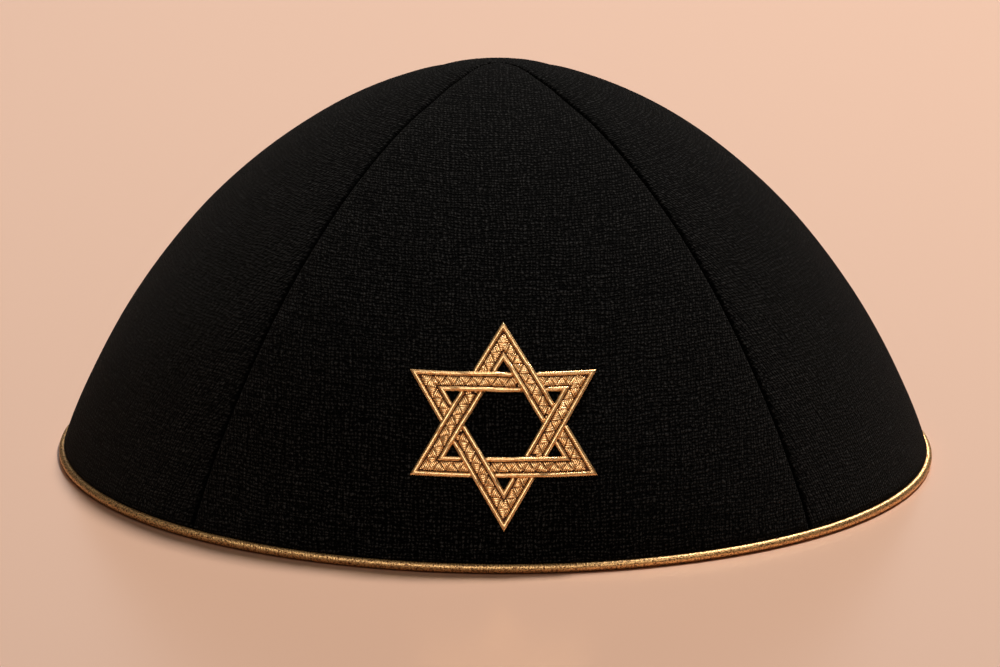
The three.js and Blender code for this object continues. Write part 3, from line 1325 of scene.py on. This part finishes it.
    def filling_threads(self) -> list[tuple[int, np.ndarray, np.ndarray]]:
        """Lays out the filling's threads in slanting groups that lean by turns.

        Returns:
            Each thread's band, and its two ends as distances out and along.
        """
        half = self.band / 2 - self.cord_width - self.fill_clearance
        length = (self.distance + half) * math.sqrt(3)
        count = math.ceil(length / self.fill_group)
        threads = []
        for band in range(self.bands):
            for cell in range(-count, count):
                side = -1 if cell % 2 == 0 else 1
                for thread in range(self.fill_threads_per_group):
                    share = (thread + 0.5) / self.fill_threads_per_group
                    start = np.array([side * half, (cell + 2 * share) * self.fill_group])
                    lean = np.array([-2 * side * half, self.fill_group])
                    threads.append((band, start, start + (1 - share) * lean))
        return threads

    def thread_faces(self) -> tuple[np.ndarray, np.ndarray]:
        """The faces of one thread of the filling, closed at both ends.

        Returns:
            Four point numbers for each face, and the ring and side of each of those corners.
        """
        faces, places = lattice(self.thread_rings, self.thread_sides, ring_columns=True)
        near_end = np.array([[0, 3, 2, 1], [0, 5, 4, 3]])
        far_end = near_end[:, ::-1] + (self.thread_rings - 1) * self.thread_sides
        ends = np.concatenate([near_end, far_end])
        end_places = np.stack([ends // self.thread_sides, ends % self.thread_sides], axis=-1)
        return np.concatenate([faces, ends]), np.concatenate([places, end_places])

    def thread_shows(self, band: int, middle: np.ndarray) -> bool:
        """Whether a thread lies on its own band of the triangle, and not under the band above.

        Args:
            band: The band's number.
            middle: The thread's middle.

        Returns:
            True where it shows.
        """
        own = middle @ self.direction(band)
        mates = [middle @ self.direction(band + step) for step in (2, 4)]
        under = abs(middle @ self.direction(band - 1) - self.distance)
        return own >= max(mates) and under >= self.band / 2 - self.hidden_margin

    def thread(
        self, band: int, points: np.ndarray, length: float, random: np.random.Generator
    ) -> Surface:
        """Builds one thread of the filling, arched and narrowed towards both ends.

        Args:
            band: The band that it lies on.
            points: Its middle line, across and along the cloth.
            length: How long it is.
            random: Where the small differences between threads come from.

        Returns:
            The thread's closed surface.
        """
        share = np.linspace(0, 1, self.thread_rings)
        way = points[-1] - points[0]
        across = np.array([-way[1], way[0]]) / length
        width = random.uniform(1 - self.width_scatter, 1 + self.width_scatter) * self.fill_thread / 2
        taper = np.clip(np.sin(math.pi * share) * self.end_steepness, self.end_width, 1)
        arch = self.fill_arch * min(1, length / self.full_arch_span)
        arched = arch * np.sin(math.pi * share) ** self.fill_arch_power
        lift = self.fill_lift + arched + self.weave_lift(band, points)
        lift = lift + random.normal(0, self.lift_scatter)
        section = 2 * math.pi * np.arange(self.thread_sides) / self.thread_sides
        radius = taper[:, None] * width
        flat = points[:, None, :] + across * (np.cos(section)[None, :] * radius)[..., None]
        height = lift[:, None] + np.sin(section)[None, :] * radius * self.fill_flatness
        faces, places = self.thread_faces()
        girth = self.fill_thread * self.grain_stretch
        scale = np.array([length / self.thread_rings, girth / self.thread_sides])
        corners = (places * scale)[..., ::-1] + random.uniform(0, self.grain_scatter, 2)
        return Surface(self.place(flat, height).reshape(-1, 3), faces, corners)

    def filling(self) -> Surface:
        """Builds the filling, thread by thread.

        Returns:
            All the threads that show.
        """
        random = np.random.default_rng(self.seed)
        share = np.linspace(0, 1, self.thread_rings)
        parts = []
        for band, start, end in self.filling_threads():
            start = start + random.normal(0, self.start_scatter, 2)
            end = end + random.normal(0, self.end_scatter, 2)
            line = start + np.multiply.outer(share, end - start)
            points = self.on_band(band, self.distance + line[:, 0], line[:, 1])
            length = float(np.linalg.norm(points[-1] - points[0]))
            middle = points[self.thread_rings // 2]
            if self.thread_shows(band, middle) and length >= self.shortest_thread:
                parts.append(self.thread(band, points, length, random))
        return Surface.joined(parts)

    def build(self, thread: Material, cotton: Material) -> None:
        """Makes the star's pieces and dresses them.

        Args:
            thread: The embroidery thread's material.
            cotton: The padding's material, whose dark brown is partly painted shade.
        """
        self.borders().as_piece("star_borders", thread, Slot.GOLD_THREAD, "ornament")
        self.filling().as_piece("star_filling", thread, Slot.GOLD_THREAD, "ornament")
        self.padding().as_piece("star_padding", cotton, Slot.GOLD_THREAD, "ornament")


@dataclass(frozen=True)
class SoftLight:
    """A round soft box: where it stands, how wide it is, and how bright, in metres and watts.

    A flagged one has a black flag below it, which keeps its light off the floor.
    """

    name: str
    place: tuple[float, float, float]
    size: float
    power: float
    shade: str = "ffffff"
    flagged: bool = False


@dataclass
class Studio:
    """The floor, the soft light and the camera.

    Places and sizes are in metres, but the camera's distance and height are in rim radii. Its
    angles are in degrees.
    """

    rim_radius: float
    floor_size: float = 14.0
    lights: tuple[SoftLight, ...] = (
        SoftLight("back_top", (0.52, 0.78, 1.58), 0.32, 34.5),
        SoftLight("back_low", (0.0, 2.2, 0.75), 1.4, 1.6),
        SoftLight("overhead", (-0.1, -0.2, 1.9), 1.2, 2.2),
        SoftLight("front", (-0.18, -1.55, 1.45), 1.25, 20.0, "fff6ec", flagged=True),
    )
    world: str = "c9c4be"
    world_strength: float = 0.07
    # The focal length and the image's width are in pixels, the sensor's width in millimetres.
    focal_pixels: float = 7199.0
    image_width: float = 1000.0
    sensor_width: float = 36.0
    clip_start: float = 0.05
    clip_end: float = 50.0
    # The camera is fitted to the cap's rim and outline. Its swing turns it round the cap.
    camera_distance: float = 16.0
    camera_height: float = 4.453
    camera_pitch: float = 14.62
    camera_yaw: float = 0.03
    camera_roll: float = 0.42
    camera_swing: float = -1.15
    aim: tuple[float, float, float] = (0.0, 0.0, 0.035)

    def lay_floor(self, stone: Material) -> Object:
        """Lays the floor.

        Args:
            stone: Its material.

        Returns:
            The floor.
        """
        half = self.floor_size / 2
        mesh = bpy.data.meshes.new("studio_floor")
        corners = [(-half, -half, 0.0), (half, -half, 0.0), (half, half, 0.0), (-half, half, 0.0)]
        mesh.from_pydata(corners, [], [(0, 1, 2, 3)])
        mesh.materials.append(stone)
        floor = bpy.data.objects.new("studio_floor", mesh)
        bpy.context.scene.collection.objects.link(floor)
        return floor

    def flag(self, box: Object, floor: Object) -> None:
        """Keeps a soft box's light off the floor.

        Args:
            box: The soft box.
            floor: The floor.
        """
        shaded = bpy.data.collections.new("behind_the_flag")
        shaded.objects.link(floor)
        shaded.collection_objects[0].light_linking.link_state = "EXCLUDE"
        box.light_linking.receiver_collection = shaded

    def hang_lights(self, floor: Object) -> None:
        """Hangs the soft boxes and lights the room.

        Args:
            floor: The floor, which a flag keeps out of a soft box's light.
        """
        for light in self.lights:
            data = bpy.data.lights.new(light.name, "AREA")
            data.shape = "DISK"
            data.size = light.size
            data.energy = light.power
            data.color = srgb(light.shade)[:3]
            box = bpy.data.objects.new(light.name, data)
            box.location = light.place
            aim = Vector(self.aim) - Vector(light.place)
            box.rotation_euler = aim.to_track_quat("-Z", "Y").to_euler()
            box.visible_camera = False
            bpy.context.scene.collection.objects.link(box)
            if light.flagged:
                self.flag(box, floor)
        world = bpy.data.worlds.new("soft_room")
        world.use_nodes = True
        world.node_tree.nodes.clear()
        background = add_node(
            world.node_tree,
            "Background",
            {"Color": srgb(self.world), "Strength": self.world_strength},
        )
        add_node(world.node_tree, "OutputWorld", {"Surface": background.outputs["Background"]})
        bpy.context.scene.world = world

    def set_camera(self) -> None:
        """Sets the camera at the photograph's angle."""
        pitch = math.radians(self.camera_pitch)
        yaw = math.radians(self.camera_yaw)
        roll = math.radians(self.camera_roll)
        ahead = Vector(
            (math.sin(yaw) * math.cos(pitch), math.cos(yaw) * math.cos(pitch), -math.sin(pitch))
        )
        level_right = Vector((math.cos(yaw), -math.sin(yaw), 0.0))
        level_up = level_right.cross(ahead)
        right = level_right * math.cos(roll) + level_up * math.sin(roll)
        up = level_up * math.cos(roll) - level_right * math.sin(roll)
        place = Vector((0.0, -self.camera_distance, self.camera_height)) * self.rim_radius * MM
        stand = Matrix.Translation(place) @ Matrix((right, up, -ahead)).transposed().to_4x4()
        data = bpy.data.cameras.new("camera")
        data.sensor_width = self.sensor_width
        data.lens = self.focal_pixels / self.image_width * self.sensor_width
        data.clip_start = self.clip_start
        data.clip_end = self.clip_end
        camera = bpy.data.objects.new("camera", data)
        camera.matrix_world = Matrix.Rotation(math.radians(self.camera_swing), 4, "Z") @ stand
        bpy.context.scene.collection.objects.link(camera)
        bpy.context.scene.camera = camera
        bpy.context.scene.view_settings.view_transform = "Standard"

    def build(self, stone: Material) -> None:
        """Sets up the whole studio.

        Args:
            stone: The floor's material.
        """
        floor = self.lay_floor(stone)
        self.hang_lights(floor)
        self.set_camera()


def main() -> None:
    """Builds the cap and its studio."""
    logging.basicConfig(level=logging.INFO, format="%(name)s: %(message)s")
    low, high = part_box("rim_piping")
    cord_diameter = (high.z - low.z) / MM
    cord_radius = high.x / MM - cord_diameter / 2
    rim_radius = cord_radius + CORD_INSET
    skin = DomeSkin(rim_radius=rim_radius)
    linen = BlackLinen().material()
    for facing in Facing:
        LinenPanel(skin, facing, f"panel_{facing.name.lower()}").build(linen)
    RimCord(ring_radius=cord_radius, diameter=cord_diameter).build(GoldCordYarn().material())
    StarEmbroidery(skin).build(GoldEmbroideryThread().material(), PaddingPaintedShade().material())
    Studio(rim_radius=rim_radius).build(PaleFloor().material())


if __name__ == "__main__":
    main()
